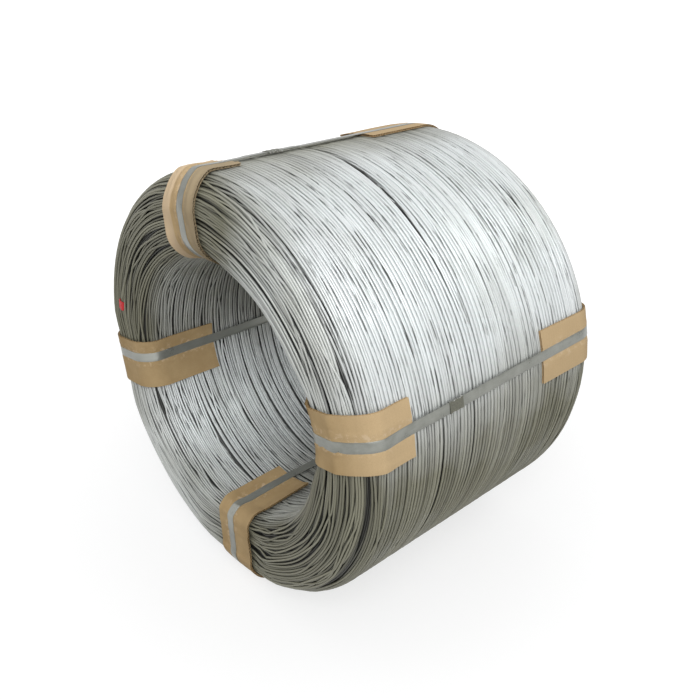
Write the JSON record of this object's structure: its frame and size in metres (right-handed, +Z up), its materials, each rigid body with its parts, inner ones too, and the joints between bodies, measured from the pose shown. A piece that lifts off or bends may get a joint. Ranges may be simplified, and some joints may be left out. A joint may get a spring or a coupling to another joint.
{
  "type": "coil of galvanised steel wire",
  "caption": "Coil of galvanised steel wire lying on its side, with rounded lips and an open bore, held by flat steel straps over corrugated-board edge protectors.",
  "frame": {"origin": "centre of the bore, half way along the coil", "axes": "+X along the bore axis from the front end to the back end, +Y towards the coil's left side as seen from the front, +Z up with the coil lying on its side"},
  "size_m": [0.6314, 0.8307, 0.8321],
  "materials": {
    "galvanised_wire": "bright galvanised, weathered to dull grey in places",
    "corrugated_board": "matt brown kraft liner, creased",
    "strap_steel": "smooth cold-rolled strip",
    "seal_steel": "dull dark zinc, crimped",
    "red_tape": "matt adhesive tape"
  },
  "bodies": {
    "root": {"wire_coil": "galvanised_wire", "protector_top_front": "corrugated_board", "protector_top_back": "corrugated_board", "protector_left_front": "corrugated_board", "protector_left_back": "corrugated_board", "protector_bottom_front": "corrugated_board", "protector_bottom_back": "corrugated_board", "protector_right_front": "corrugated_board", "protector_right_back": "corrugated_board", "strap_top": "strap_steel", "strap_left": "strap_steel", "strap_bottom": "strap_steel", "strap_right": "strap_steel", "seal_top": "seal_steel", "seal_left": "seal_steel", "seal_bottom": "seal_steel", "seal_right": "seal_steel", "end_tape": "red_tape"}
  },
  "joints": []
}
